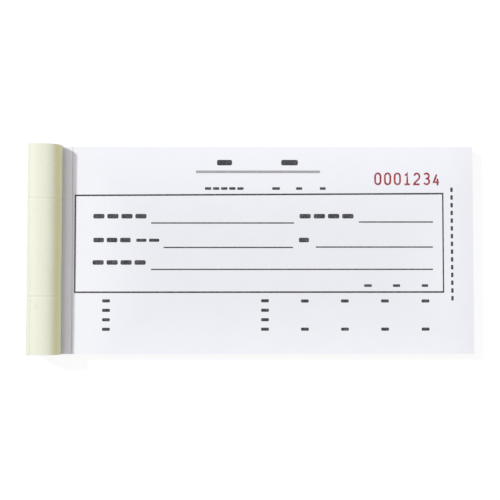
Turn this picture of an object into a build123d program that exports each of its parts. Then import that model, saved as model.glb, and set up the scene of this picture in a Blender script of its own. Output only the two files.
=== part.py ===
"""Three-part receipt book, lying flat with its front cover rolled round to the back.

Millimetres, +Z up. X runs from the bound edge to the free edge of the pages, Y across them.
The book is drawn with x = 0 at the bound edge of the pages and then moved so that the origin
is the bottom centre of its box. The rolled cover lies under the pad, so it touches the surface.
"""

import os
from math import cos, degrees, radians, sin

from build123d import *

# Pages
PAGE_LENGTH = 175.0
PAGE_WIDTH = 85.0
SHEET_THICKNESS = 0.07
SHEET_GAP = 0.01
SET_COUNT = 20
LOOSE_SETS = 2  # the top sets whose copies turn one by one
COPIES = ("white", "pink", "yellow")  # top to bottom in each set
TEAR_LINE_X = 10.6  # middle of the perforation, from the bound edge
TEAR_LINE_GAP = 0.4

# Cover, back board and spine tape
COVER_THICKNESS = 0.25
BACK_BOARD_THICKNESS = 0.6
TAPE_THICKNESS = 0.1
TAPE_FLANGE = 2.4
GLUE_LINE = 0.05  # gap between two layers that are glued or only lie on each other

# Staples
STAPLE_WIRE = 0.4
STAPLE_CROWN = 12.0
STAPLE_CLINCH = 4.5
STAPLE_BEND = 0.35  # bend radius at the middle of the wire
STAPLE_SPACING = 40.0
STAPLE_X = 3.8
STAPLE_CLEARANCE = 0.05
STAPLE_LIFT = 0.12  # the crown stands this far off the cover

# Rolled cover, as round bends that follow on from each other; a heading is in degrees up from +X
CREASE_X = 5.35  # end of the flat flap
BOUND_BENDS = (  # bends that stay with the pad, as (heading at the end, radius)
    (45.0, 0.4),  # sharp crease at the end of the flap
    (90.0, 3.3),  # foot of the roll, which leans out over the page
    (165.0, 7.0),  # near shoulder
    (185.0, 16.8),  # flat top
)
FAR_SHOULDER_RADIUS = 1.8  # first loose strip, a tight turn down
FAR_SHOULDER_HEADING = 260.0
DROP_HEADING = 290.0  # end of the long strip down past the pad
KNEE_RADIUS = 2.6  # turn under the pad
STRIP_GAP = 0.06

# Heights, from the surface up
PANEL_TOP = COVER_THICKNESS
TAPE_BOTTOM = PANEL_TOP + GLUE_LINE
BOARD_BOTTOM = TAPE_BOTTOM + TAPE_THICKNESS + GLUE_LINE
BOARD_TOP = BOARD_BOTTOM + BACK_BOARD_THICKNESS
SHEET_PITCH = SHEET_THICKNESS + SHEET_GAP
SHEET_COUNT = SET_COUNT * len(COPIES)
STACK_BOTTOM = BOARD_TOP + SHEET_GAP
STACK_TOP = STACK_BOTTOM + SHEET_COUNT * SHEET_PITCH - SHEET_GAP
FLAP_BOTTOM = STACK_TOP + GLUE_LINE
FLAP_TOP = FLAP_BOTTOM + COVER_THICKNESS
STUB_END_X = TEAR_LINE_X - TEAR_LINE_GAP / 2
LEAF_START_X = TEAR_LINE_X + TEAR_LINE_GAP / 2


def slab(x0, x1, z0, z1, width=PAGE_WIDTH):
    """A flat box from x0 to x1 and z0 to z1, centred on Y."""
    centre = ((x0 + x1) / 2, 0, (z0 + z1) / 2)
    return Pos(*centre) * Box(x1 - x0, width, z1 - z0)


def bend_end(start, first, last, radius):
    """Where a bend that starts at heading first ends at heading last, along the inside of the bend."""
    x = start[0] + radius * (sin(radians(last)) - sin(radians(first)))
    z = start[1] + radius * (cos(radians(first)) - cos(radians(last)))
    return x, z


def outside(point, heading):
    """The point through the card on the outside of the bend."""
    x = point[0] + COVER_THICKNESS * sin(radians(heading))
    z = point[1] - COVER_THICKNESS * cos(radians(heading))
    return x, z


def bend_starts(point, heading, bends):
    """Start point and heading of each of these bends, and last those of what follows them."""
    starts = [(point, heading)]
    for last, radius in bends:
        point, first = starts[-1]
        starts.append((bend_end(point, first, last, radius), last))
    return starts


BOUND_STARTS = bend_starts((CREASE_X, FLAP_TOP), 0.0, BOUND_BENDS)
TOP_END, TOP_HEADING = BOUND_STARTS[-1]
FAR_SHOULDER_END = bend_end(TOP_END, TOP_HEADING, FAR_SHOULDER_HEADING, FAR_SHOULDER_RADIUS)
KNEE_DROP = KNEE_RADIUS * (1 - cos(radians(DROP_HEADING)))
DROP_HEIGHT = FAR_SHOULDER_END[1] - KNEE_DROP - PANEL_TOP
DROP_RADIUS = DROP_HEIGHT / (cos(radians(DROP_HEADING)) - cos(radians(FAR_SHOULDER_HEADING)))

# Loose strips in order, as (heading at the end, radius of the bend)
STRIPS = (
    (FAR_SHOULDER_HEADING, FAR_SHOULDER_RADIUS),
    (DROP_HEADING, DROP_RADIUS),
    (360.0, KNEE_RADIUS),
)


def strip_starts():
    """Start point and heading of each loose strip, and last those of the panel under the pad."""
    return bend_starts(TOP_END, TOP_HEADING, STRIPS)


def fold_lines():
    """Fold lines of the loose strips and the panel as (x, z), on the outside of the bend."""
    return [outside(point, heading) for point, heading in strip_starts()]


def fold_ranges():
    """Degrees that each fold line opens: half the bend each side of it, so the cover ends up straight."""
    headings = [heading for _, heading in strip_starts()]
    bends = [0.0] + [b - a for a, b in zip(headings, headings[1:])] + [0.0]
    return [(before + after) / 2 for before, after in zip(bends, bends[1:])]


def roll_left():
    """X of the roll's far side, on the outside of the long strip."""
    centre = FAR_SHOULDER_END[0] - DROP_RADIUS * sin(radians(FAR_SHOULDER_HEADING))
    return centre - DROP_RADIUS - COVER_THICKNESS


def bent_length():
    """Length of card from the bound edge to the panel, along the inside of the bends."""
    length = CREASE_X
    first = 0.0
    for last, radius in BOUND_BENDS + STRIPS:
        length += radians(last - first) * radius
        first = last
    return length


PANEL_LENGTH = PAGE_LENGTH - bent_length()
CENTRE_X = (roll_left() + PAGE_LENGTH) / 2
TO_ORIGIN = Pos(-CENTRE_X, 0, 0)


def bend(start, first, last, radius, first_gap=0.0, last_gap=0.0):
    """A strip of card bent from one heading to another, with its thickness on the outside."""
    centre_x = start[0] - radius * sin(radians(first))
    centre_z = start[1] + radius * cos(radians(first))
    first += degrees(first_gap / radius)
    last -= degrees(last_gap / radius)

    def point(heading, distance):
        return centre_x + distance * sin(radians(heading)), 0, centre_z - distance * cos(radians(heading))

    far = radius + COVER_THICKNESS
    middle = (first + last) / 2
    inside_arc = ThreePointArc(point(first, radius), point(middle, radius), point(last, radius))
    outside_arc = ThreePointArc(point(last, far), point(middle, far), point(first, far))
    ends = [Line(inside_arc @ 1, outside_arc @ 0), Line(outside_arc @ 1, inside_arc @ 0)]
    return extrude(make_face([inside_arc, ends[0], outside_arc, ends[1]]), PAGE_WIDTH / 2, both=True)


def cover_nodes():
    """The bound half of the cover, the loose strips of its roll and the panel that lies under the pad."""
    flap = slab(0, CREASE_X, FLAP_BOTTOM, FLAP_TOP) - leg_holes(FLAP_BOTTOM, FLAP_TOP)
    bound_half = flap
    for (start, first), (last, radius) in zip(BOUND_STARTS, BOUND_BENDS):
        end_gap = STRIP_GAP / 2 if last == TOP_HEADING else 0.0
        bound_half += bend(start, first, last, radius, 0.0, end_gap)
    nodes = {"front_cover_bound_half": bound_half}
    starts = strip_starts()
    for number, ((start, first), (last, radius)) in enumerate(zip(starts, STRIPS), 1):
        strip = bend(start, first, last, radius, STRIP_GAP / 2, STRIP_GAP / 2)
        nodes[f"front_cover_strip_{number:02d}"] = strip
    panel_x = starts[-1][0][0]
    nodes["front_cover_panel"] = slab(panel_x + STRIP_GAP / 2, panel_x + PANEL_LENGTH, 0, PANEL_TOP)
    return nodes


def staple_centres():
    """Y of the middle of each staple."""
    return [-STAPLE_SPACING / 2, STAPLE_SPACING / 2]


def leg_holes(z0, z1):
    """Holes for the staple legs through the layers from z0 to z1."""
    hole = Cylinder(STAPLE_WIRE / 2 + STAPLE_CLEARANCE, z1 - z0)
    return [
        Pos(STAPLE_X, centre + side * STAPLE_CROWN / 2, (z0 + z1) / 2) * hole
        for centre in staple_centres()
        for side in (-1, 1)
    ]


def clinch_grooves():
    """Grooves that the clinched legs press into the underside of the back board."""
    wide = STAPLE_WIRE + 2 * STAPLE_CLEARANCE
    length = STAPLE_CLINCH + wide
    middle = STAPLE_CROWN / 2 - STAPLE_CLINCH / 2
    groove = Box(wide, length, 2 * wide)
    return [
        Pos(STAPLE_X, centre + side * middle, BOARD_BOTTOM) * groove
        for centre in staple_centres()
        for side in (-1, 1)
    ]


def staple(centre):
    """One staple of round wire, crown on the cover and legs clinched inwards under the back board."""
    half = STAPLE_CROWN / 2
    top = FLAP_TOP + STAPLE_LIFT + STAPLE_WIRE / 2
    bottom = BOARD_BOTTOM + STAPLE_CLEARANCE + STAPLE_WIRE / 2
    tip = half - STAPLE_CLINCH
    corners = [(-tip, bottom), (-half, bottom), (-half, top), (half, top), (half, bottom), (tip, bottom)]
    path = FilletPolyline(*[(STAPLE_X, centre + y, z) for y, z in corners], radius=STAPLE_BEND)
    section = Plane(path @ 0, z_dir=path % 0) * Circle(STAPLE_WIRE / 2)
    return sweep(section, path=path)


def spine_tape():
    """Paper tape round the bound edge: over the cover flap, down the spine and under the back board."""
    outer = slab(-GLUE_LINE - TAPE_THICKNESS, TAPE_FLANGE, TAPE_BOTTOM, FLAP_TOP + GLUE_LINE + TAPE_THICKNESS)
    inner = slab(-GLUE_LINE, TAPE_FLANGE + 1, TAPE_BOTTOM + TAPE_THICKNESS, FLAP_TOP + GLUE_LINE)
    return outer - inner


def back_board():
    """Stiff card under the pages, stapled through and grooved for the clinched legs."""
    board = slab(0, PAGE_LENGTH, BOARD_BOTTOM, BOARD_TOP)
    return board - leg_holes(BOARD_BOTTOM, BOARD_TOP) - clinch_grooves()


def sheet_bottom(set_number, copy):
    """Height of the underside of one sheet. Set 1 is on top."""
    below = (SET_COUNT - set_number) * len(COPIES) + len(COPIES) - 1 - COPIES.index(copy)
    return STACK_BOTTOM + below * SHEET_PITCH


def stub(set_number, copy):
    """The bound strip of one sheet, inside the tear line."""
    z0 = sheet_bottom(set_number, copy)
    z1 = z0 + SHEET_THICKNESS
    return slab(0, STUB_END_X, z0, z1) - leg_holes(z0, z1)


def leaf(set_number, copy):
    """The part of one sheet that turns and tears off, outside the tear line."""
    z0 = sheet_bottom(set_number, copy)
    return slab(LEAF_START_X, PAGE_LENGTH, z0, z0 + SHEET_THICKNESS)


def sheet_nodes():
    """Stubs and lower leaves grouped by colour, and the leaves of the top sets one by one."""
    nodes = {}
    every_set = range(1, SET_COUNT + 1)
    for copy in COPIES:
        nodes[f"{copy}_stubs"] = Compound([stub(n, copy) for n in every_set])
        nodes[f"lower_{copy}_copies"] = Compound([leaf(n, copy) for n in every_set[LOOSE_SETS:]])
        for n in every_set[:LOOSE_SETS]:
            nodes[f"set_{n}_{copy}_copy"] = leaf(n, copy)
    return nodes


def all_nodes():
    """Every piece by name, at the bound edge's own frame."""
    return {
        **sheet_nodes(),
        **cover_nodes(),
        "back_board": back_board(),
        "spine_tape": spine_tape(),
        "staples": Compound([staple(centre) for centre in staple_centres()]),
    }


def main():
    os.makedirs("parts", exist_ok=True)
    for name, shape in all_nodes().items():
        export_step(TO_ORIGIN * shape, f"parts/{name}.step")


if __name__ == "__main__":
    main()
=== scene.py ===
"""Dresses a long stapled receipt book: paper copies, tear line, printed form, rolled cover and binding.

Settings, and distances inside materials, are in metres. Shapes are worked out in millimetres and turned
into metres where their mesh is made. X runs along the pages from the bound edge, Y across them and Z up.
Printed marks are placed from the middle of the page.
"""

import math
from collections import namedtuple

import bmesh
import bpy
from bpy.props import FloatProperty, FloatVectorProperty, IntProperty, PointerProperty
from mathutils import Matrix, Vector


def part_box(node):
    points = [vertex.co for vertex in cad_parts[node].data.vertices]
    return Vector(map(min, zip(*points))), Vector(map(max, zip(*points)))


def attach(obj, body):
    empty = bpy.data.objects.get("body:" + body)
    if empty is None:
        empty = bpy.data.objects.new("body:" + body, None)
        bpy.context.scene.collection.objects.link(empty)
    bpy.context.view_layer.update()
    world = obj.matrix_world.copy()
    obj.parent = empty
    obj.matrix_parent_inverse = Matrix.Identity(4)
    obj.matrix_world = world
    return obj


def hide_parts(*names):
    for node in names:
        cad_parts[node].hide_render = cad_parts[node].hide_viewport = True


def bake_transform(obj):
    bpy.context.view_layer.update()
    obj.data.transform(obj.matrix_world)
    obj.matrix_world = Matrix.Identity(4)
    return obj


bl_info = {
    "name": "Receipt Book",
    "version": (1, 0, 0),
    "blender": (4, 5, 0),
    "location": "3D View > Sidebar > Receipt Book",
    "description": "Paper copies, printed form, rolled cover and binding of a receipt book",
    "category": "Object",
}

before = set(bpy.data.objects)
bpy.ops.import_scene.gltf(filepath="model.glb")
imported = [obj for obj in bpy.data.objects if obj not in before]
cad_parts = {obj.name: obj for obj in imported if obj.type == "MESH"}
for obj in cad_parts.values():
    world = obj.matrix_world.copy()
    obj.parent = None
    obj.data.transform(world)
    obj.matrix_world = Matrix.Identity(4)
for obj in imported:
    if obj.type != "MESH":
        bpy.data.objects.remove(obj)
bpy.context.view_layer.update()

MM = 0.001
COPIES = ("white", "pink", "yellow")
SET_COUNT = 20
LOOSE_SETS = 2  # top sets, whose copies turn
STUB_LOW, STUB_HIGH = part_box("white_stubs")
LEAF_LOW, LEAF_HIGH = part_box("set_1_white_copy")
SHEET = (LEAF_HIGH.z - LEAF_LOW.z) / MM  # thickness of a copy
SHEET_PITCH = (LEAF_HIGH.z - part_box("set_1_pink_copy")[1].z) / MM
SET_PITCH = len(COPIES) * SHEET_PITCH  # from a copy to the same copy of the next set
PAGE_WIDTH = (LEAF_HIGH.y - LEAF_LOW.y) / MM
PAGE_X = (STUB_LOW.x + LEAF_HIGH.x) / 2 / MM  # middle of the page

# Every copy that can be seen face on, with the body it turns on and its place in the run of numbers
FACES = (
    ("set_1_white_copy", "set_1_white_leaf", 0),
    ("set_1_pink_copy", "set_1_pink_leaf", 0),
    ("set_1_yellow_copy", "set_1_yellow_leaf", 0),
    ("set_2_white_copy", "set_2_white_leaf", 1),
    ("set_2_pink_copy", "set_2_pink_leaf", 1),
    ("set_2_yellow_copy", "set_2_yellow_leaf", 1),
    ("lower_white_copies", "pad", 2),
)


# Settings


def colour_setting(name, description, default):
    """A colour that a user would change."""
    return FloatVectorProperty(
        name=name,
        description=description,
        subtype="COLOR",
        min=0.0,
        max=1.0,
        default=default,
    )


def length_setting(name, description, millimetres):
    """A length that a user would change, kept in metres and shown in the scene's units."""
    return FloatProperty(
        name=name,
        description=description,
        subtype="DISTANCE",
        precision=5,
        default=millimetres * MM,
    )


class PaperSettings(bpy.types.PropertyGroup):
    """Colours of the copies, how strongly their pulp shows, and their tear line."""

    white: colour_setting("White copy", "Top copy of a set", (0.89, 0.905, 0.945))
    pink: colour_setting("Pink copy", "Second copy of a set", (0.86, 0.5, 0.55))
    yellow: colour_setting("Yellow copy", "Third copy of a set", (0.88, 0.78, 0.36))
    mottle: FloatProperty(
        name="Mottle",
        description="Light and dark in the pulp",
        subtype="FACTOR",
        min=0.0,
        max=1.0,
        default=0.035,
    )
    tie_length: length_setting("Tie", "Paper left between two cuts of the tear line", 1.08)
    tie_pitch: length_setting("Tie pitch", "From one tie to the next", 1.2)


class PrintSettings(bpy.types.PropertyGroup):
    """Inks, line widths and number of the form."""

    ink: colour_setting("Form ink", "Frame, rules and labels", (0.034, 0.034, 0.042))
    heading: colour_setting("Heading ink", "Thick line under the heading", (0.37, 0.37, 0.385))
    number: colour_setting("Number ink", "Running number", (0.32, 0.012, 0.027))
    frame_line: length_setting("Frame line", "Width of the frame's long sides", 0.68)
    frame_end: length_setting("Frame end", "Width of the frame's short sides", 0.57)
    rule_line: length_setting("Rule line", "Width of a ruled line", 0.54)
    first_number: IntProperty(
        name="First number",
        description="Number of the top set",
        subtype="UNSIGNED",
        min=0,
        default=1234,
    )


class CoverSettings(bpy.types.PropertyGroup):
    """Card of the rolled cover and the shape of its bends."""

    card: colour_setting("Card", "Colour of the card", (0.845, 0.845, 0.45))
    # Paler colour mixed in on top of the roll as a painted highlight.
    painted_highlight: colour_setting("Faded card", "Colour on top of the roll", (0.89, 0.92, 0.745))
    thickness: length_setting("Thickness", "Thickness of the card", 0.25)
    flap: length_setting("Flap", "Flat flap from the bound edge to the crease", 5.35)
    crease_radius: length_setting("Crease radius", "Sharp turn up at the end of the flap", 0.4)
    foot_radius: length_setting("Foot radius", "Foot of the roll, which leans out over the page", 3.3)
    shoulder_radius: length_setting("Shoulder radius", "Shoulder on the side of the page", 7.0)
    top_radius: length_setting("Top radius", "Flat top of the roll", 16.8)
    far_radius: length_setting("Far shoulder radius", "Tight turn down, away from the page", 1.8)
    knee_radius: length_setting("Knee radius", "Turn under the pad", 2.6)
    staple_mark: length_setting("Staple mark", "Depth of the crease in line with a staple", 0.12)


class StageSettings(bpy.types.PropertyGroup):
    """Camera and light."""

    eye: FloatVectorProperty(
        name="Camera",
        description="Place of the camera",
        subtype="TRANSLATION",
        default=(-3.18 * MM, -20.44 * MM, 450.36 * MM),
    )
    tilt: FloatVectorProperty(
        name="Tilt",
        description="Turn of the camera from straight down",
        subtype="EULER",
        default=(math.radians(2.633), math.radians(-0.3), math.radians(-0.025)),
    )
    lens: FloatProperty(
        name="Lens",
        description="Focal length",
        subtype="DISTANCE_CAMERA",
        default=78.13,
    )
    key: FloatProperty(name="Key light", description="Strength of the key light", min=0.0, default=1.9)
    key_slope: FloatVectorProperty(
        name="Key direction",
        description="Way that the key light travels",
        subtype="DIRECTION",
        default=(0.905, -0.47, -1.0),
    )
    sky: FloatProperty(name="Fill light", description="Strength of the surround", min=0.0, default=0.58)


SETTINGS = {
    "receipt_paper": PaperSettings,
    "receipt_print": PrintSettings,
    "receipt_cover": CoverSettings,
    "receipt_stage": StageSettings,
}


# Node helpers


def add_node(tree, kind, **values):
    """A node with its attributes set. A name that starts with in_ is an input: a value or a link."""
    node = tree.nodes.new(kind)
    for key, value in values.items():
        if not key.startswith("in_"):
            setattr(node, key, value)
            continue
        label = key.removeprefix("in_")
        socket = node.inputs[int(label) if label.isdigit() else label.replace("_", " ")]
        if isinstance(value, bpy.types.NodeSocket):
            tree.links.new(value, socket)
        else:
            socket.default_value = value
    return node


def object_place(tree):
    """The piece's own coordinates, which are the frame's."""
    return add_node(tree, "ShaderNodeTexCoord").outputs["Object"]


def stretched(tree, place, scale):
    """Coordinates scaled along each axis, to draw a pattern out."""
    return add_node(tree, "ShaderNodeMapping", in_Vector=place, in_Scale=scale).outputs["Vector"]


def noise(tree, place, scale, detail, roughness=0.5):
    """Soft noise from 0 to 1."""
    node = add_node(
        tree,
        "ShaderNodeTexNoise",
        in_Vector=place,
        in_Scale=scale,
        in_Detail=detail,
        in_Roughness=roughness,
    )
    return node.outputs["Fac"]


def worked(tree, operation, *values):
    """The result of a math node on values or sockets."""
    inputs = {f"in_{place}": value for place, value in enumerate(values)}
    return add_node(tree, "ShaderNodeMath", operation=operation, **inputs).outputs[0]


def ranged(tree, value, span=(0.0, 1.0), ends=(0.0, 1.0), ease="LINEAR"):
    """A value's span taken to two other ends, and held outside it."""
    node = add_node(
        tree,
        "ShaderNodeMapRange",
        interpolation_type=ease,
        in_Value=value,
        in_From_Min=span[0],
        in_From_Max=span[1],
        in_To_Min=ends[0],
        in_To_Max=ends[1],
    )
    return node.outputs["Result"]


def eased(tree, value, span, ends):
    """A value's span taken smoothly to two other ends."""
    return ranged(tree, value, span, ends, ease="SMOOTHSTEP")


def mixed(tree, share, first, second):
    """A colour between two others. Inputs 6 and 7 and output 2 are the Mix node's colour sockets."""
    node = add_node(tree, "ShaderNodeMix", data_type="RGBA", in_Factor=share, in_6=first, in_7=second)
    return node.outputs[2]


def shaded(tree, colour, factor):
    """A colour made lighter or darker."""
    node = add_node(tree, "ShaderNodeVectorMath", operation="SCALE", in_0=colour, in_Scale=factor)
    return node.outputs[0]


def relief(tree, height, strength, depth, **below):
    """A normal with relief, on top of in_Normal where that is given."""
    node = add_node(
        tree,
        "ShaderNodeBump",
        in_Height=height,
        in_Strength=strength,
        in_Distance=depth,
        **below,
    )
    return node.outputs["Normal"]


def new_material(name):
    """An empty node material and its tree."""
    material = bpy.data.materials.new(name)
    material.use_nodes = True
    material.node_tree.nodes.clear()
    return material, material.node_tree


def surface(tree, **values):
    """The material's shader, with plain values and links on its own sockets, and its output."""
    shader = add_node(tree, "ShaderNodeBsdfPrincipled", **values)
    add_node(tree, "ShaderNodeOutputMaterial", in_Surface=shader.outputs["BSDF"])


# Finishes

PAPER_GLOSS = 0.3  # specular level of paper and ink
FIBRE_DEPTH = 0.03 * MM  # relief of the fibres in paper and card
FIBRE_STRETCH = (1.0, 0.4, 1.0)  # fibres lie along Y
FLECK_SPAN = (0.64, 0.72)  # noise at which a fleck starts and is full
INK_SPAN = (0.4, 0.75)  # noise at which ink starts to thin and is thinnest
PAPER_TONE = 0.75  # tone that shows through thin ink

# Painted light falloff: copies are made lighter near their edges and darker a little below the middle,
# where the light across the page is dimmest. Spans run along the page, apart from the dim band's, which
# runs away from its line. Tones are shares of the paper's own colour.
DIM_LINE = -6.0 * MM
DIM_SPAN = (8.0 * MM, 52.0 * MM)
BOUND_SPAN = (STUB_LOW.x + 12.0 * MM, STUB_LOW.x + 50.0 * MM)
FREE_SPAN = (LEAF_HIGH.x - 45.0 * MM, LEAF_HIGH.x)
FREE_LIT = 0.5  # the free edge gets half the painted lift of the others
DIM_TONE, LIT_TONE = 0.936, 1.03
# The copies get darker over the last 12 mm towards the free edge.
FREE_EDGE_DARK_SPAN, FREE_EDGE_DARK_TONE = (LEAF_HIGH.x - 12.0 * MM, LEAF_HIGH.x), 0.965
FOOT_SHADE_SPAN, FOOT_SHADE_TONE = (STUB_LOW.x + 7.0 * MM, STUB_LOW.x + 8.6 * MM), 0.9  # painted shade on the paper at the foot of the roll


def pulp_group():
    """Pulp of paper and card: soft clouds, fine fibres and a few flecks."""
    known = bpy.data.node_groups.get("paper_pulp")
    if known:
        return known
    tree = bpy.data.node_groups.new("paper_pulp", "ShaderNodeTree")
    for label, kind, default in (
        ("Color", "NodeSocketColor", (1.0, 1.0, 1.0, 1.0)),
        ("Fleck Color", "NodeSocketColor", (0.5, 0.5, 0.5, 1.0)),
        ("Mottle", "NodeSocketFloat", 0.04),
        ("Cloud Scale", "NodeSocketFloat", 120.0),
        ("Fibre Scale", "NodeSocketFloat", 1800.0),
        ("Fleck Amount", "NodeSocketFloat", 0.0),
    ):
        tree.interface.new_socket(label, in_out="INPUT", socket_type=kind).default_value = default
    tree.interface.new_socket("Color", in_out="OUTPUT", socket_type="NodeSocketColor")
    tree.interface.new_socket("Height", in_out="OUTPUT", socket_type="NodeSocketFloat")
    given = tree.nodes.new("NodeGroupInput").outputs
    place = object_place(tree)
    along = stretched(tree, place, FIBRE_STRETCH)
    clouds = noise(tree, place, given["Cloud Scale"], detail=3.0, roughness=0.6)
    fibres = noise(tree, along, given["Fibre Scale"], detail=4.0, roughness=0.7)
    flecks = ranged(tree, noise(tree, along, scale=900.0, detail=2.0), span=FLECK_SPAN)
    swing = worked(tree, "SUBTRACT", worked(tree, "ADD", clouds, fibres), 1.0)
    tone = worked(tree, "MULTIPLY_ADD", swing, given["Mottle"], 1.0)
    share = worked(tree, "MULTIPLY", flecks, given["Fleck Amount"])
    colour = mixed(tree, share, shaded(tree, given["Color"], tone), given["Fleck Color"])
    add_node(tree, "NodeGroupOutput", in_Color=colour, in_Height=fibres)
    return tree


def pulp(tree, **values):
    """Colour and height of the pulp, placed in a material with its own values."""
    node = add_node(tree, "ShaderNodeGroup", node_tree=pulp_group(), **values)
    return node.outputs["Color"], node.outputs["Height"]


def copy_material(name, colour, mottle):
    """Thin copy paper: fibres, a slight cockle, painted light falloff, a darker free edge and painted
    shade at the foot of the roll.
    """
    material, tree = new_material(name)
    paper, fibres = pulp(tree, in_Color=(*colour, 1.0), in_Mottle=mottle)
    place = object_place(tree)
    cockle = relief(tree, noise(tree, place, scale=16.0, detail=1.0), strength=1.0, depth=0.9 * MM)
    parts = add_node(tree, "ShaderNodeSeparateXYZ", in_Vector=place).outputs
    # Painted light falloff: lighter near the edges, darker in a band a little below the middle.
    from_dim_line = worked(tree, "ABSOLUTE", worked(tree, "SUBTRACT", parts["Y"], DIM_LINE))
    bound_side = eased(tree, parts["X"], BOUND_SPAN, ends=(1.0, 0.0))
    free_side = eased(tree, parts["X"], FREE_SPAN, ends=(0.0, FREE_LIT))
    long_sides = eased(tree, from_dim_line, DIM_SPAN, ends=(0.0, 1.0))
    lit_share = worked(tree, "MAXIMUM", worked(tree, "MAXIMUM", bound_side, free_side), long_sides)
    tone = ranged(tree, lit_share, ends=(DIM_TONE, LIT_TONE))
    free_edge_dark = eased(tree, parts["X"], FREE_EDGE_DARK_SPAN, ends=(1.0, FREE_EDGE_DARK_TONE))
    # Painted shade on the paper at the foot of the roll.
    foot_shade = eased(tree, parts["X"], FOOT_SHADE_SPAN, ends=(FOOT_SHADE_TONE, 1.0))
    tone = worked(tree, "MULTIPLY", tone, worked(tree, "MULTIPLY", free_edge_dark, foot_shade))
    surface(
        tree,
        in_Base_Color=shaded(tree, paper, tone),
        in_Normal=relief(tree, fibres, strength=0.15, depth=FIBRE_DEPTH, in_Normal=cockle),
        in_Roughness=0.68,
        in_Specular_IOR_Level=PAPER_GLOSS,
    )
    return material


def card_material(settings):
    """Coated card, paled on top of the roll by a painted highlight and darkened by painted shade at its
    foot and far side.
    """
    material, tree = new_material("cover_card")
    # Shares of painted highlight and painted shade, stored on the card by heading.
    painted_highlight = add_node(tree, "ShaderNodeAttribute", attribute_name="painted_highlight").outputs["Fac"]
    painted_shade = add_node(tree, "ShaderNodeAttribute", attribute_name="painted_shade").outputs["Fac"]
    card, fibres = pulp(
        tree,
        in_Color=mixed(tree, painted_highlight, (*settings.card, 1.0), (*settings.painted_highlight, 1.0)),
        in_Fleck_Color=(0.6, 0.6, 0.42, 1.0),
        in_Mottle=0.04,
        in_Cloud_Scale=90.0,
        in_Fleck_Amount=0.15,
    )
    surface(
        tree,
        # Painted shade darkens the card at the foot of the roll and on its far side.
        in_Base_Color=shaded(tree, card, worked(tree, "SUBTRACT", 1.0, painted_shade)),
        in_Normal=relief(tree, fibres, strength=0.2, depth=FIBRE_DEPTH),
        in_Roughness=0.5,
        in_Specular_IOR_Level=0.4,
    )
    return material


def ink_material(name, colour, unevenness):
    """Printing ink, thinner in places where the paper took less of it."""
    material, tree = new_material(name)
    thin = [channel + (PAPER_TONE - channel) * unevenness for channel in colour]
    patches = ranged(tree, noise(tree, object_place(tree), scale=900.0, detail=3.0), span=INK_SPAN)
    surface(
        tree,
        in_Base_Color=mixed(tree, patches, (*colour, 1.0), (*thin, 1.0)),
        in_Roughness=0.55,
        in_Specular_IOR_Level=PAPER_GLOSS,
    )
    return material


def board_material():
    """Board of pulped waste paper, grey with dark flecks."""
    material, tree = new_material("back_board")
    board, fibres = pulp(
        tree,
        in_Color=(0.36, 0.33, 0.28, 1.0),
        in_Fleck_Color=(0.16, 0.14, 0.12, 1.0),
        in_Mottle=0.2,
        in_Cloud_Scale=200.0,
        in_Fleck_Amount=0.7,
    )
    surface(
        tree,
        in_Base_Color=board,
        in_Normal=relief(tree, fibres, strength=0.4, depth=FIBRE_DEPTH),
        in_Roughness=0.8,
        in_Specular_IOR_Level=PAPER_GLOSS,
    )
    return material


def tape_material():
    """Crepe paper tape: fine ridges across its length."""
    material, tree = new_material("spine_tape")
    paper, _ = pulp(tree, in_Color=(0.72, 0.74, 0.58, 1.0), in_Mottle=0.08)
    ridges = add_node(
        tree,
        "ShaderNodeTexWave",
        bands_direction="Y",
        in_Vector=object_place(tree),
        in_Scale=700.0,
        in_Distortion=6.0,
    )
    surface(
        tree,
        in_Base_Color=paper,
        in_Normal=relief(tree, ridges.outputs["Fac"], strength=0.5, depth=0.04 * MM),
        in_Roughness=0.72,
        in_Specular_IOR_Level=PAPER_GLOSS,
    )
    return material


def wire_material():
    """Galvanised wire with fine drawing lines along it."""
    material, tree = new_material("staple_wire")
    along = stretched(tree, object_place(tree), (1.0, 0.05, 0.05))
    lines = noise(tree, along, scale=9000.0, detail=3.0)
    surface(
        tree,
        in_Base_Color=mixed(tree, lines, (0.62, 0.63, 0.65, 1.0), (0.42, 0.43, 0.45, 1.0)),
        in_Metallic=1.0,
        in_Roughness=ranged(tree, lines, ends=(0.22, 0.42)),
        in_Specular_IOR_Level=0.5,
    )
    return material


def paint(node_name, material):
    """Gives a CAD node its finish."""
    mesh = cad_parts[node_name].data
    mesh.materials.clear()
    mesh.materials.append(material)


# Mesh helpers


def new_piece(name, mesh, materials):
    """An object at the origin with its materials."""
    piece = bpy.data.objects.new(name, mesh)
    bpy.context.scene.collection.objects.link(piece)
    for material in materials:
        mesh.materials.append(material)
    return piece


def mesh_from(form, name):
    """Turns a bmesh into a mesh and frees it."""
    mesh = bpy.data.meshes.new(name)
    form.to_mesh(mesh)
    form.free()
    return mesh


# Paper copies and tear line

TIE_PLAY = 0.01  # a tie is shorter than the slit by this
TIE_THINNING = 0.006  # and thinner than its sheet by this
# Ties that turn with the top copy stop short of the stub, to clear it when the copies are lifted
TOP_TIE_REACH = 0.31
TOP_TIE_THICKNESS = 0.03


class RECEIPT_OT_paper_copies(bpy.types.Operator):
    """Paper of the stubs and of every copy"""

    bl_idname = "receipt_book.paper_copies"
    bl_label = "Paper Copies"

    def execute(self, context):
        settings = context.scene.receipt_paper
        for copy in COPIES:
            paper = copy_material(f"{copy}_paper", getattr(settings, copy), settings.mottle)
            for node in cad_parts:
                if node in (f"{copy}_stubs", f"lower_{copy}_copies") or node.endswith(f"_{copy}_copy"):
                    paint(node, paper)
        return {"FINISHED"}


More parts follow.
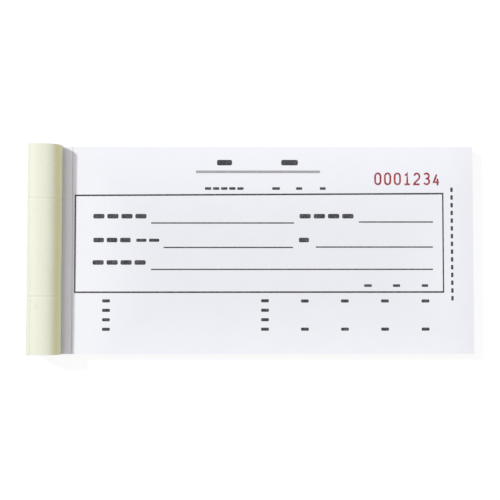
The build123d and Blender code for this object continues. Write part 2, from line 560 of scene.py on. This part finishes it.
def tie_tree():
    """Ties of one colour: a row across the page, repeated at every sheet of that colour."""
    tree = bpy.data.node_groups.new("tear_line_ties", "GeometryNodeTree")
    tree.interface.new_socket("Geometry", in_out="OUTPUT", socket_type="NodeSocketGeometry")
    for label, kind in (
        ("Tie Size", "NodeSocketVector"),
        ("Ties", "NodeSocketInt"),
        ("Tie Pitch", "NodeSocketVector"),
        ("Sheets", "NodeSocketInt"),
        ("Sheet Pitch", "NodeSocketVector"),
        ("First Tie", "NodeSocketVector"),
        ("Paper", "NodeSocketMaterial"),
    ):
        tree.interface.new_socket(label, in_out="INPUT", socket_type=kind)
    given = tree.nodes.new("NodeGroupInput").outputs
    tie = add_node(tree, "GeometryNodeMeshCube", in_Size=given["Tie Size"])
    row = add_node(tree, "GeometryNodeMeshLine", in_Count=given["Ties"], in_Offset=given["Tie Pitch"])
    stack = add_node(
        tree,
        "GeometryNodeMeshLine",
        in_Count=given["Sheets"],
        in_Offset=given["Sheet Pitch"],
        in_Start_Location=given["First Tie"],
    )
    tie_row = add_node(
        tree,
        "GeometryNodeInstanceOnPoints",
        in_Points=row.outputs["Mesh"],
        in_Instance=tie.outputs["Mesh"],
    )
    tie_rows = add_node(
        tree,
        "GeometryNodeInstanceOnPoints",
        in_Points=stack.outputs["Mesh"],
        in_Instance=tie_row.outputs["Instances"],
    )
    real = add_node(tree, "GeometryNodeRealizeInstances", in_Geometry=tie_rows.outputs["Instances"])
    finish = add_node(
        tree,
        "GeometryNodeSetMaterial",
        in_Geometry=real.outputs["Geometry"],
        in_Material=given["Paper"],
    )
    add_node(tree, "NodeGroupOutput", in_Geometry=finish.outputs["Geometry"])
    return tree


def grown_mesh(tree, name, values):
    """The plain mesh that a geometry tree makes with these inputs."""
    seed = bpy.data.objects.new(name, bpy.data.meshes.new(name))
    bpy.context.scene.collection.objects.link(seed)
    modifier = seed.modifiers.new("grow", "NODES")
    modifier.node_group = tree
    for item in tree.interface.items_tree:
        if item.in_out == "INPUT" and item.name in values:
            modifier[item.identifier] = values[item.name]
    bpy.context.view_layer.update()
    evaluated = seed.evaluated_get(bpy.context.evaluated_depsgraph_get())
    mesh = bpy.data.meshes.new_from_object(evaluated)
    bpy.data.objects.remove(seed)
    mesh.name = name
    return mesh


class RECEIPT_OT_tear_line(bpy.types.Operator):
    """Paper ties between copies and stubs, in the lower sets and on the top copy"""

    bl_idname = "receipt_book.tear_line"
    bl_label = "Tear Line"

    def execute(self, context):
        settings = context.scene.receipt_paper
        tree = tie_tree()
        length = settings.tie_length / MM
        slit = (LEAF_LOW.x - STUB_HIGH.x) / MM
        ties = int((PAGE_WIDTH - length) / (settings.tie_pitch / MM)) + 1
        pitch = (PAGE_WIDTH - length) / (ties - 1)
        first_y = (length - PAGE_WIDTH) / 2
        row = {"Ties": ties, "Tie Pitch": (0.0, pitch * MM, 0.0)}
        for copy in COPIES:
            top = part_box(f"set_1_{copy}_copy")[1].z / MM
            lowest = top - SHEET / 2 - (SET_COUNT - 1) * SET_PITCH
            values = {
                "Tie Size": ((slit - TIE_PLAY) * MM, length * MM, (SHEET - TIE_THINNING) * MM),
                "Sheets": SET_COUNT - LOOSE_SETS,
                "Sheet Pitch": (0.0, 0.0, SET_PITCH * MM),
                "First Tie": ((STUB_HIGH.x + LEAF_LOW.x) / 2, first_y * MM, lowest * MM),
                "Paper": bpy.data.materials[f"{copy}_paper"],
            }
            name = f"tear_line_{copy}"
            piece = new_piece(name, grown_mesh(tree, name, row | values), [])
            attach(piece, "pad")
        middle = (LEAF_LOW.z + LEAF_HIGH.z) / 2
        values = {
            "Tie Size": (TOP_TIE_REACH * MM, length * MM, TOP_TIE_THICKNESS * MM),
            "Sheets": 1,
            "First Tie": (LEAF_LOW.x - TOP_TIE_REACH / 2 * MM, first_y * MM, middle),
            "Paper": bpy.data.materials["white_paper"],
        }
        piece = new_piece("tear_line_top", grown_mesh(tree, "tear_line_top", row | values), [])
        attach(piece, "set_1_white_leaf")
        return {"FINISHED"}


# Printed form

INK, HEADING, NUMBER = range(3)  # material slots of the print

FORM_FRAME = ((-75.84, -17.3), (75.15, -17.24), (75.14, 23.2), (-75.84, 22.45))  # corners, anticlockwise
HEADING_LINE = (-26.33, 32.2, 24.67, 1.1)  # left, height, right, width
RULES = (  # left, height, right
    (-44.73, 11.1, 13.87),
    (40.57, 11.5, 71.07),
    (-39.63, 1.05, 13.47),
    (22.87, 1.2, 70.97),
    (-44.73, -7.95, 70.87),
)
# Rows of label bars: left, right, middle height, bars in the row, height of a bar
LABEL_ROWS = (
    (-69.03, -46.03, 13.9, 4, 1.9),
    (15.57, 38.97, 13.9, 4, 1.9),
    (-68.93, -52.53, 4.1, 3, 1.9),
    (-51.33, -40.83, 4.0, 2, 1.3),
    (15.87, 20.07, 4.1, 1, 1.9),
    (-69.23, -46.33, -5.1, 4, 1.9),
    (-23.03, -6.43, 25.3, 5, 1.1),
    (4.97, 8.17, 25.3, 1, 1.1),
    (14.77, 17.37, 25.3, 1, 1.1),
    (24.57, 26.97, 25.3, 1, 1.1),
    (42.57, 45.77, -14.6, 1, 1.1),
    (54.37, 57.37, -14.6, 1, 1.1),
    (66.17, 68.87, -14.6, 1, 1.1),
    (-17.73, -11.53, 36.0, 1, 2.3),
    (8.67, 15.57, 36.0, 1, 2.3),
)
# Columns of label bars: middle, top, bottom, bars in the column, width and height of a bar
LABEL_COLUMNS = (
    (-63.03, -20.8, -32.4, 4, 3.2, 1.3),
    (1.97, -20.8, -32.4, 4, 3.2, 1.3),
    (18.27, -20.9, -32.4, 2, 3.2, 1.3),
    (34.67, -20.9, -32.4, 2, 3.2, 1.3),
    (51.07, -20.9, -32.4, 2, 3.2, 1.3),
    (67.67, -20.9, -32.4, 2, 3.2, 1.3),
    (78.77, 24.8, -19.8, 15, 1.0, 1.9),
)
BAR_FILL = 0.8  # share of its step that a bar takes
BAR_CORNER = 0.3  # radius of a bar's corners as a share of its shorter side
NUMBER_LEFT, NUMBER_RIGHT = 46.97, 74.07
NUMBER_FOOT, NUMBER_HEIGHT = 26.65, 5.3
DIGIT_WIDTH = 2.98
DIGIT_COUNT = 7
DIGIT_STROKE = 0.76
LAST_DIGIT_DROP = 0.45  # the last wheel of the numbering stamp sits a little low
POINT_SPACING = 0.02  # a stroke's points that are closer than this count as one
MITRE_LIMIT = 0.5  # half the stroke over this is as far as a corner reaches
PRINT_LIFT = 0.004  # ink above its paper
INK_DEPTH = 0.008  # thickness of the ink, half of it in the paper
STROKE_LIFT = 0.0008  # a digit's next stroke above the one before


def arc(x, y, width, height, first, last, steps=12):
    """Points of an oval arc round a middle, angles in degrees."""
    turn = [math.radians(first + (last - first) * i / steps) for i in range(steps + 1)]
    return [(x + width * math.cos(a), y + height * math.sin(a)) for a in turn]


def ink_layer(form, points, faces, level, slot):
    """A thin closed layer of ink on flat faces, each an anticlockwise round of point numbers."""
    top = [form.verts.new(((PAGE_X + x) * MM, y * MM, level)) for x, y in points]
    under = [form.verts.new(((PAGE_X + x) * MM, y * MM, level - INK_DEPTH * MM)) for x, y in points]
    edges = [(face[i - 1], face[i]) for face in faces for i in range(len(face))]
    rounds = [[top[i] for i in face] for face in faces]
    rounds += [[under[i] for i in reversed(face)] for face in faces]
    rounds += [(under[a], under[b], top[b], top[a]) for a, b in edges if (b, a) not in edges]
    for corners in rounds:
        form.faces.new(corners).material_index = slot


def line_bar(form, left, middle, right, width, level, slot=INK):
    """A plain straight line of ink."""
    low, high = middle - width / 2, middle + width / 2
    corners = [(left, low), (right, low), (right, high), (left, high)]
    ink_layer(form, corners, [range(4)], level, slot)


def label_bar(form, x, y, width, height, level):
    """A label's place holder: a bar with soft corners."""
    radius = min(width, height) * BAR_CORNER
    outline = []
    for quarter, (sx, sy) in enumerate(((1, 1), (-1, 1), (-1, -1), (1, -1))):
        middle = (x + sx * (width / 2 - radius), y + sy * (height / 2 - radius))
        outline += arc(*middle, radius, radius, 90 * quarter, 90 * quarter + 90, steps=4)
    ink_layer(form, outline, [range(len(outline))], level, INK)


def form_lines(form, settings, level):
    """Frame, heading line and rules."""
    end, side = settings.frame_end / MM / 2, settings.frame_line / MM / 2
    turns = ((-1, -1), (1, -1), (1, 1), (-1, 1))
    outer = [(x + sx * end, y + sy * side) for (x, y), (sx, sy) in zip(FORM_FRAME, turns)]
    inner = [(x - sx * end, y - sy * side) for (x, y), (sx, sy) in zip(FORM_FRAME, turns)]
    faces = [(i, (i + 1) % 4, 4 + (i + 1) % 4, 4 + i) for i in range(4)]
    ink_layer(form, outer + inner, faces, level, INK)
    line_bar(form, *HEADING_LINE, level, HEADING)
    for rule in RULES:
        line_bar(form, *rule, settings.rule_line / MM, level)


def form_labels(form, level):
    """Bars where the form has its labels."""
    for left, right, middle, count, height in LABEL_ROWS:
        step = (right - left) / count
        width = step * (BAR_FILL if count > 1 else 1.0)
        for i in range(count):
            label_bar(form, left + step * (i + 0.5), middle, width, height, level)
    for x, top, bottom, count, width, height in LABEL_COLUMNS:
        step = (bottom - top) / (count - 1)
        for i in range(count):
            label_bar(form, x, top + step * i, width, height, level)


# Strokes of the stamped digits in a unit box
DIGITS = {
    "0": [arc(0.5, 0.72, 0.5, 0.28, 0, 180) + arc(0.5, 0.28, 0.5, 0.28, 180, 360) + [(1.0, 0.72)]],
    "1": [[(0.08, 0.82), (0.32, 0.87), (0.52, 1.0), (0.52, 0.07)], [(0.0, 0.0), (1.0, 0.0)]],
    "2": [arc(0.5, 0.7, 0.48, 0.3, 165, -35) + [(0.04, 0.1), (0.0, 0.0), (1.0, 0.0)]],
    "3": [arc(0.46, 0.76, 0.46, 0.24, 150, -90) + [(0.3, 0.52)], arc(0.48, 0.26, 0.5, 0.26, 66, -155)],
    "4": [[(0.56, 1.0), (0.0, 0.3), (1.0, 0.3)], [(0.7, 0.62), (0.7, 0.0)]],
    "5": [[(0.92, 1.0), (0.1, 1.0), (0.06, 0.55)] + arc(0.48, 0.32, 0.5, 0.32, 130, -150)],
    "6": [arc(0.62, 0.62, 0.6, 0.38, 75, 180) + arc(0.5, 0.3, 0.5, 0.3, 180, 540)],
    "7": [[(0.0, 0.88), (0.0, 1.0), (1.0, 1.0), (0.6, 0.5), (0.46, 0.0)]],
    "8": [arc(0.5, 0.76, 0.42, 0.24, -90, 270, 20), arc(0.5, 0.26, 0.5, 0.26, 90, 450, 20)],
    "9": [arc(0.38, 0.38, 0.6, 0.38, -105, 0) + arc(0.5, 0.7, 0.5, 0.3, 0, 360)],
}


def direction(start, end):
    """Unit step from one point to another."""
    length = math.dist(start, end)
    return (end[0] - start[0]) / length, (end[1] - start[1]) / length


def ink_stroke(form, line, level):
    """A digit's stroke: a ribbon of even width along a line of points, with mitred corners."""
    closed = math.dist(line[0], line[-1]) < POINT_SPACING
    if closed:
        line = line[:-1]
    count = len(line)
    points = []
    for i, (x, y) in enumerate(line):
        ways = []
        if closed or i > 0:
            ways.append(direction(line[i - 1], line[i]))
        if closed or i < count - 1:
            ways.append(direction(line[i], line[(i + 1) % count]))
        across = direction((0.0, 0.0), (-sum(way[1] for way in ways), sum(way[0] for way in ways)))
        spread = across[1] * ways[0][0] - across[0] * ways[0][1]
        reach = DIGIT_STROKE / 2 / max(spread, MITRE_LIMIT)
        dx, dy = across[0] * reach, across[1] * reach
        points += [(x + dx, y + dy), (x - dx, y - dy)]
    steps = [(i, (i + 1) % count) for i in range(count if closed else count - 1)]
    ink_layer(form, points, [(2 * a + 1, 2 * b + 1, 2 * b, 2 * a) for a, b in steps], level, NUMBER)


def form_number(form, number, level):
    """The running number, one stamped digit at a time."""
    step = (NUMBER_RIGHT - NUMBER_LEFT - DIGIT_WIDTH) / (DIGIT_COUNT - 1)
    wide, tall = DIGIT_WIDTH - DIGIT_STROKE, NUMBER_HEIGHT - DIGIT_STROKE
    for i, digit in enumerate(f"{number:0{DIGIT_COUNT}d}"):
        left = NUMBER_LEFT + step * i + DIGIT_STROKE / 2
        foot = NUMBER_FOOT + DIGIT_STROKE / 2 - (LAST_DIGIT_DROP if i == DIGIT_COUNT - 1 else 0.0)
        for layer, stroke in enumerate(DIGITS[digit]):
            points = []
            for u, v in stroke:
                point = (left + u * wide, foot + v * tall)
                if not points or math.dist(points[-1], point) > POINT_SPACING:
                    points.append(point)
            ink_stroke(form, points, level + layer * STROKE_LIFT * MM)


class RECEIPT_OT_printed_form(bpy.types.Operator):
    """Frame, rules, label bars and number on every copy that can be seen"""

    bl_idname = "receipt_book.printed_form"
    bl_label = "Printed Form"

    def execute(self, context):
        settings = context.scene.receipt_print
        inks = [
            ink_material("form_ink", settings.ink, unevenness=0.12),
            ink_material("heading_ink", settings.heading, unevenness=0.15),
            ink_material("number_ink", settings.number, unevenness=0.22),
        ]
        for node, body, place in FACES:
            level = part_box(node)[1].z + PRINT_LIFT * MM
            form = bmesh.new()
            form_lines(form, settings, level)
            form_labels(form, level)
            form_number(form, settings.first_number + place, level)
            name = f"form_print_{node}"
            piece = new_piece(name, mesh_from(form, name), inks)
            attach(piece, body)
        return {"FINISHED"}


# Rolled cover

# Headings of the card in degrees: 0 runs along the flap, 90 up, 180 back over the bound edge
CREASE_HEADING, FOOT_HEADING, SHOULDER_HEADING, TOP_HEADING = 45.0, 90.0, 165.0, 185.0
FAR_HEADING, DROP_HEADING, PANEL_HEADING = 260.0, 290.0, 360.0
BOUND_END = 181.25  # heading where the bound half ends and the first piece of the roll starts
PANEL_LEAD = 5.0  # length of panel that goes with the last piece of the roll
BEND_STEP = 2.5  # degrees between rows of the mesh
COLUMN_STEP = 2.5  # between columns of the mesh
SHARP_ANGLE = math.radians(35)  # edges sharper than this stay crisp
HAIR = 1e-6  # slack where stations are picked by heading or length

# Heading and share: where the card is paled by a painted highlight, and where it is darkened by painted
# shade at the foot of the roll and on its far side
PAINTED_HIGHLIGHT = ((90, 0.4), (112, 0.42), (121, 0.0), (156, 1.0), (232, 1.0), (300, 0.0))
# Painted shade: the foot of the roll beside the page, and the far side away from the key light.
PAINTED_SHADE = ((30, 0.0), (86, 0.6), (103, 0.0), (180, 0.0), (196, 0.13), (290, 0.19), (330, 0.0))

# Lengths along the card between which its relief comes in and goes out
RELIEF_IN = (7.0, 10.0)
RELIEF_OUT = (30.0, 38.0)
# Push for each millimetre across, which sets the roll askew: page side, far side and top
NEAR_SKEW, FAR_SKEW, TOP_SKEW = 0.0015, 0.005, 0.0105
# Soft waves: height, turn for each millimetre across and along, and start
WAVES = ((0.05, 0.11, 0.0, 0.6), (0.03, 0.23, 0.12, 0.0))
# Creases that the staples pull into the card, each with a raised lip beside it
STAPLE_LINES = (-19.2, 20.3)
MARK_WIDTH = 0.4
LIP_OFFSET = 0.8
LIP_SHARE = 0.5
MARK_STEP = 0.2  # between columns of the mesh at a crease
MARK_REACH = 1.8


# A place on the card's inner line: its x and z, its heading, and its length along the card
Station = namedtuple("Station", "x z heading length")


class CardPath:
    """The cover's inner line as a row of stations."""

    def __init__(self, settings):
        flap_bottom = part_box("front_cover_bound_half")[0].z / MM
        panel_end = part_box("front_cover_panel")[1] / MM
        self.stations = []
        self.x, self.z = STUB_LOW.x / MM, flap_bottom + settings.thickness / MM
        self.heading, self.length = 0.0, 0.0
        self.mark()
        self.straight(settings.flap / MM, steps=3)
        self.bend(CREASE_HEADING, settings.crease_radius / MM, step=7.5)
        self.bend(FOOT_HEADING, settings.foot_radius / MM)
        self.bend(SHOULDER_HEADING, settings.shoulder_radius / MM)
        self.bend(TOP_HEADING, settings.top_radius / MM, step=1.25)
        self.bend(FAR_HEADING, settings.far_radius / MM)
        # The drop's radius is the one that brings the knee down to the panel's upper face
        knee_radius = settings.knee_radius / MM
        knee_drop = knee_radius * (1 - math.cos(math.radians(DROP_HEADING)))
        turn = math.cos(math.radians(DROP_HEADING)) - math.cos(math.radians(FAR_HEADING))
        self.bend(DROP_HEADING, (self.z - knee_drop - panel_end.z) / turn)
        self.bend(PANEL_HEADING, knee_radius, step=5.0)
        self.straight(PANEL_LEAD, steps=6)
        self.lead_end = self.length
        self.straight(panel_end.x - self.x, steps=12)

    def mark(self):
        """Keeps the present place as a station."""
        self.stations.append(Station(self.x, self.z, self.heading, self.length))

    def straight(self, length, steps):
        """Goes on along X, which is the way of the flap and of the panel."""
        for _ in range(steps):
            self.x += length / steps
            self.length += length / steps
            self.mark()

    def bend(self, last, radius, step=BEND_STEP):
        """Turns to a heading on a radius."""
        first = self.heading
        steps = max(1, round((last - first) / step))
        start_x, start_z = self.x, self.z
        for i in range(1, steps + 1):
            self.heading = first + (last - first) * i / steps
            a, b = math.radians(first), math.radians(self.heading)
            self.x = start_x + radius * (math.sin(b) - math.sin(a))
            self.z = start_z + radius * (math.cos(a) - math.cos(b))
            self.length += radius * math.radians((last - first) / steps)
            self.mark()

    def between(self, first, last):
        """Stations from one heading to another, up to the end of the panel's lead."""
        return [
            station
            for station in self.stations
            if first - HAIR <= station.heading <= last + HAIR and station.length <= self.lead_end + HAIR
        ]

    def panel(self):
        """Stations of the panel from the end of its lead."""
        return [station for station in self.stations if station.length >= self.lead_end - HAIR]


def card_columns():
    """Places across the card, closer together at the staple marks."""
    half = PAGE_WIDTH / 2
    places = {round(-half + COLUMN_STEP * i, 4) for i in range(int(PAGE_WIDTH / COLUMN_STEP) + 1)}
    places.add(round(half, 4))
    for line in STAPLE_LINES:
        steps = int(MARK_REACH / MARK_STEP)
        places.update(round(line + MARK_STEP * i, 4) for i in range(-steps, steps + 1))
    return sorted(places)


def ramp(value, first, last):
    """How far a value has come from first to last, from 0 to 1."""
    return min(1.0, max(0.0, (value - first) / (last - first)))


def staple_crease(distance):
    """Depth of the crease at a distance from its line, from 0 to 1, less the lip beside it."""
    dip = math.exp(-((distance / MARK_WIDTH) ** 2))
    lip = math.exp(-(((distance - LIP_OFFSET) / MARK_WIDTH) ** 2))
    return dip - LIP_SHARE * lip


def card_relief(length, heading, y, settings):
    """Outward push of the card: a roll a little askew, soft waves and the staple marks."""
    fade = ramp(length, *RELIEF_IN) * (1.0 - ramp(length, *RELIEF_OUT))
    side, up = math.sin(math.radians(heading)), -math.cos(math.radians(heading))
    askew = y * side * (NEAR_SKEW if side > 0 else FAR_SKEW) + y * max(0.0, up) * TOP_SKEW
    wave = sum(
        height * math.sin(across * y + along * length + start) for height, across, along, start in WAVES
    )
    mark = settings.staple_mark / MM * sum(staple_crease(y - line) for line in STAPLE_LINES)
    return fade * (askew + wave - mark)


def share_at(stops, heading):
    """The share at a heading, eased from one stop of the table to the next."""
    for (low, before), (high, after) in zip(stops, stops[1:]):
        if heading <= high:
            step = ramp(heading, low, high)
            return before + (after - before) * step * step * (3 - 2 * step)
    return stops[-1][1]


def card_piece(name, stations, settings, material):
    """A closed strip of card along these stations."""
    form = bmesh.new()
    painted_highlight = form.verts.layers.float.new("painted_highlight")
    painted_shade = form.verts.layers.float.new("painted_shade")
    thickness = settings.thickness / MM
    columns = card_columns()
    inner, outer = [], []
    for x, z, heading, length in stations:
        out_x, out_z = math.sin(math.radians(heading)), -math.cos(math.radians(heading))
        rows = ([], [])
        for y in columns:
            push = card_relief(length, heading, y, settings)
            for row, reach in zip(rows, (push, push + thickness)):
                point = form.verts.new(((x + out_x * reach) * MM, y * MM, (z + out_z * reach) * MM))
                # Shares of painted highlight and painted shade at this heading.
                point[painted_highlight] = share_at(PAINTED_HIGHLIGHT, heading)
                point[painted_shade] = share_at(PAINTED_SHADE, heading)
                row.append(point)
        inner.append(rows[0])
        outer.append(rows[1])
    last = len(columns) - 1
    for i in range(len(stations) - 1):
        for j in range(last):
            form.faces.new((outer[i][j], outer[i + 1][j], outer[i + 1][j + 1], outer[i][j + 1]))
            form.faces.new((inner[i][j], inner[i][j + 1], inner[i + 1][j + 1], inner[i + 1][j]))
        for j in (0, last):
            form.faces.new((inner[i][j], outer[i][j], outer[i + 1][j], inner[i + 1][j]))
    for i in (0, -1):
        for j in range(last):
            form.faces.new((inner[i][j], inner[i][j + 1], outer[i][j + 1], outer[i][j]))
    bmesh.ops.recalc_face_normals(form, faces=form.faces)
    for face in form.faces:
        face.smooth = True
    mesh = mesh_from(form, name)
    mesh.set_sharp_from_angle(angle=SHARP_ANGLE)
    return new_piece(name, mesh, [material])


class RECEIPT_OT_rolled_cover(bpy.types.Operator):
    """The one card cover: bound flap, roll and the panel under the pad"""

    bl_idname = "receipt_book.rolled_cover"
    bl_label = "Rolled Cover"

    def execute(self, context):
        settings = context.scene.receipt_cover
        card = card_material(settings)
        path = CardPath(settings)
        bound = card_piece("cover_bound_half", path.between(0, BOUND_END), settings, card)
        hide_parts("front_cover_bound_half")
        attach(bound, "pad")
        # A piece of the roll spans one fold, from the middle of one CAD strip to that of the next
        folds = (TOP_HEADING, FAR_HEADING, DROP_HEADING, PANEL_HEADING)
        middles = [(a + b) / 2 for a, b in zip(folds, folds[1:])]
        cuts = [BOUND_END, *middles, PANEL_HEADING]
        for i in range(len(folds)):
            stations = path.between(cuts[i], cuts[i + 1])
            strip = card_piece(f"cover_roll_{i + 1}", stations, settings, card)
            if i < len(middles):
                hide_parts(f"front_cover_strip_{i + 1:02d}")
            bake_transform(strip)
        panel = card_piece("cover_panel_card", path.panel(), settings, card)
        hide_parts("front_cover_panel")
        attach(panel, "cover_panel")
        return {"FINISHED"}


# Binding


class RECEIPT_OT_binding(bpy.types.Operator):
    """Back board, spine tape and staples"""

    bl_idname = "receipt_book.binding"
    bl_label = "Binding"

    def execute(self, context):
        paint("back_board", board_material())
        paint("spine_tape", tape_material())
        paint("staples", wire_material())
        return {"FINISHED"}


# Stage

FLOOR_SIZE = 1.5  # metres from its middle to a side
FLOOR_GAP = 0.05  # keeps the cover's lower face and the floor out of one plane
FLOOR_COLOUR = (0.85, 0.85, 0.85, 1.0)
SHADOW_COLOUR = (0.16, 0.16, 0.16, 1.0)  # the part of the seen floor that takes shadow
FLOOR_GLOW = 0.88  # the part that is white in any light
FILL_COLOUR = (1.0, 0.945, 0.985, 1.0)
FILL_ENDS = (0.4, 1.3)  # share of the fill light at the horizon and overhead
WHITE = (1.0, 1.0, 1.0, 1.0)
KEY_COLOUR = (0.95, 1.0, 0.97)
KEY_SPREAD = math.radians(4.0)
SENSOR_WIDTH = 36.0


def white_where_seen(tree, light, white):
    """White for what the camera and mirrors see, and the light that reaches the book for the rest."""
    path = add_node(tree, "ShaderNodeLightPath").outputs
    seen = worked(tree, "MAXIMUM", path["Is Camera Ray"], path["Is Glossy Ray"])
    seen = worked(tree, "MAXIMUM", seen, path["Is Transmission Ray"])
    return add_node(tree, "ShaderNodeMixShader", in_0=seen, in_1=light, in_2=white).outputs[0]


def make_floor():
    """A wide pale floor that keeps a faint shadow."""
    form = bmesh.new()
    bmesh.ops.create_grid(form, x_segments=1, y_segments=1, size=FLOOR_SIZE)
    bmesh.ops.translate(form, verts=form.verts, vec=(0.0, 0.0, -FLOOR_GAP * MM))
    material, tree = new_material("floor_paper")
    paper = add_node(tree, "ShaderNodeBsdfDiffuse", in_Color=FLOOR_COLOUR)
    shadow = add_node(tree, "ShaderNodeBsdfDiffuse", in_Color=SHADOW_COLOUR)
    glow = add_node(tree, "ShaderNodeEmission", in_Strength=FLOOR_GLOW)
    seen = add_node(tree, "ShaderNodeAddShader", in_0=shadow.outputs[0], in_1=glow.outputs[0])
    mix = white_where_seen(tree, paper.outputs[0], seen.outputs[0])
    add_node(tree, "ShaderNodeOutputMaterial", in_Surface=mix)
    floor = new_piece("floor", mesh_from(form, "floor"), [material])


def make_surround(scene, settings):
    """A white surround whose light grows from the horizon to overhead."""
    world = bpy.data.worlds.new("surround")
    world.use_nodes = True
    scene.world = world
    tree = world.node_tree
    tree.nodes.clear()
    place = add_node(tree, "ShaderNodeTexCoord").outputs["Generated"]
    height = add_node(tree, "ShaderNodeSeparateXYZ", in_Vector=place).outputs["Z"]
    strength = ranged(tree, height, ends=[settings.sky * share for share in FILL_ENDS])
    fill = add_node(tree, "ShaderNodeBackground", in_Color=FILL_COLOUR, in_Strength=strength)
    white = add_node(tree, "ShaderNodeBackground", in_Color=WHITE, in_Strength=1.0)
    mix = white_where_seen(tree, fill.outputs[0], white.outputs[0])
    add_node(tree, "ShaderNodeOutputWorld", in_Surface=mix)


def make_key(scene, settings):
    """A soft sun from the bound side."""
    lamp = bpy.data.lights.new("key", "SUN")
    lamp.energy = settings.key
    lamp.angle = KEY_SPREAD
    lamp.color = KEY_COLOUR
    key = bpy.data.objects.new("key", lamp)
    scene.collection.objects.link(key)
    key.rotation_mode = "QUATERNION"
    key.rotation_quaternion = Vector(settings.key_slope).to_track_quat("-Z", "Y")


def make_camera(scene, settings):
    """A camera that looks almost straight down."""
    data = bpy.data.cameras.new("camera")
    data.sensor_width = SENSOR_WIDTH
    data.lens = settings.lens
    camera = bpy.data.objects.new("camera", data)
    scene.collection.objects.link(camera)
    camera.location = settings.eye
    camera.rotation_euler = settings.tilt
    scene.camera = camera


class RECEIPT_OT_stage(bpy.types.Operator):
    """Floor, surround, key light and camera"""

    bl_idname = "receipt_book.stage"
    bl_label = "Stage"

    def execute(self, context):
        scene = context.scene
        settings = scene.receipt_stage
        scene.view_settings.view_transform = "Standard"
        make_floor()
        make_surround(scene, settings)
        make_key(scene, settings)
        make_camera(scene, settings)
        return {"FINISHED"}


# Add-on

STEPS = (
    RECEIPT_OT_paper_copies,
    RECEIPT_OT_tear_line,
    RECEIPT_OT_printed_form,
    RECEIPT_OT_rolled_cover,
    RECEIPT_OT_binding,
    RECEIPT_OT_stage,
)


class RECEIPT_PT_panel(bpy.types.Panel):
    """Lists the steps and the settings"""

    bl_idname = "RECEIPT_PT_panel"
    bl_label = "Receipt Book"
    bl_space_type = "VIEW_3D"
    bl_region_type = "UI"
    bl_category = "Receipt Book"

    def draw(self, context):
        layout = self.layout
        for step in STEPS:
            layout.operator(step.bl_idname)
        for name, kind in SETTINGS.items():
            box = layout.box()
            for key in kind.__annotations__:
                box.prop(getattr(context.scene, name), key)


def register():
    """Adds the settings, the steps and the panel."""
    for name, kind in SETTINGS.items():
        bpy.utils.register_class(kind)
        setattr(bpy.types.Scene, name, PointerProperty(type=kind))
    for kind in (*STEPS, RECEIPT_PT_panel):
        bpy.utils.register_class(kind)


def unregister():
    """Takes them away again."""
    for kind in reversed((*STEPS, RECEIPT_PT_panel)):
        bpy.utils.unregister_class(kind)
    for name, kind in SETTINGS.items():
        delattr(bpy.types.Scene, name)
        bpy.utils.unregister_class(kind)


def main():
    """Makes the book in order."""
    register()
    bpy.ops.receipt_book.paper_copies()
    bpy.ops.receipt_book.tear_line()
    bpy.ops.receipt_book.printed_form()
    bpy.ops.receipt_book.rolled_cover()
    bpy.ops.receipt_book.binding()
    bpy.ops.receipt_book.stage()


if __name__ == "__main__":
    main()
